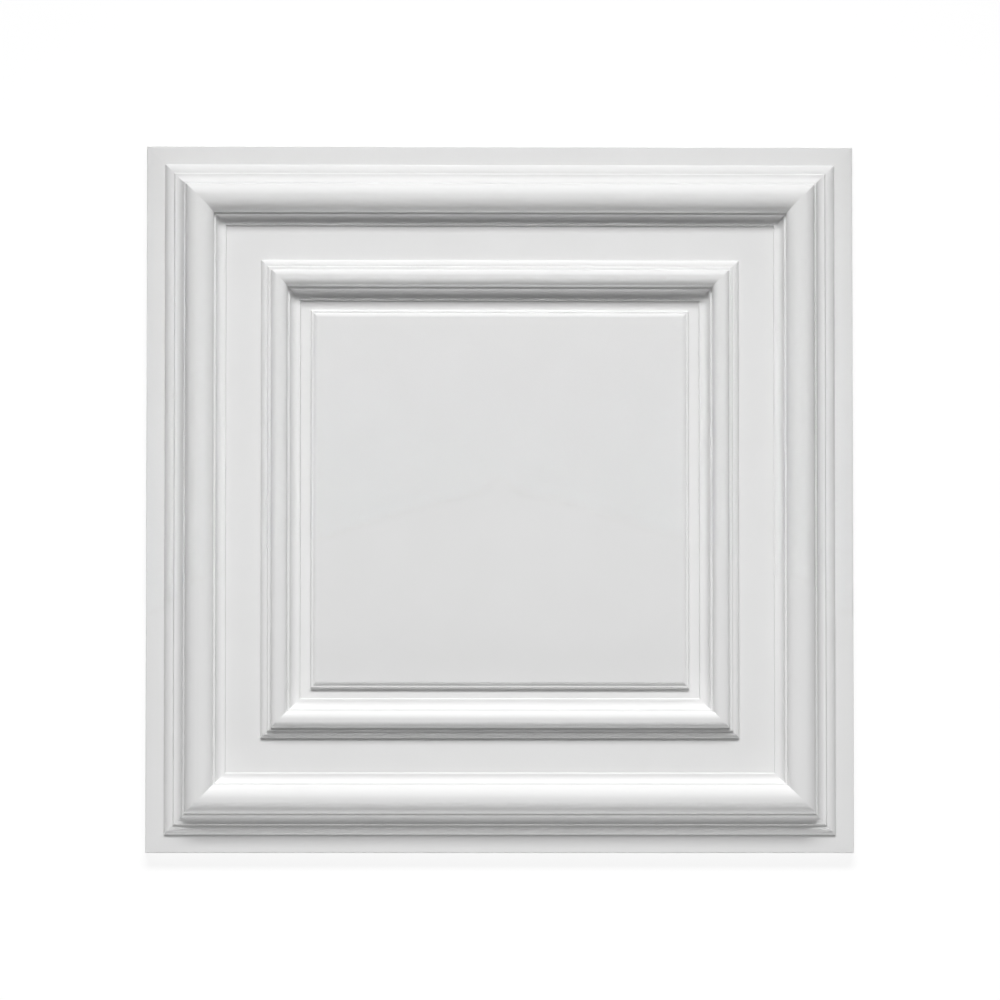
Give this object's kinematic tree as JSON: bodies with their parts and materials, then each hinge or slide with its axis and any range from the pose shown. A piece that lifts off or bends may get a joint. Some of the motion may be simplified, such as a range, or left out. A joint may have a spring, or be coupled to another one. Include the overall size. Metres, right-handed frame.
{
  "type": "decorative ceiling panel",
  "caption": "Square white coffered ceiling panel moulded in one piece, with mitred frames of rolls and coves stepping down to a raised flat centre and a thin rim for a ceiling grid.",
  "frame": {"origin": "centre of the flat back, at the level of the floor that the panel lies on", "axes": "+Z out of the decorated face, +X and +Y along the panel's sides, +Y towards the top of the picture"},
  "size_m": [0.595, 0.595, 0.0341],
  "materials": {
    "white_paint": "satin white paint on moulded rigid foam"
  },
  "bodies": {
    "root": {"ceiling_panel": "white_paint"}
  },
  "joints": []
}
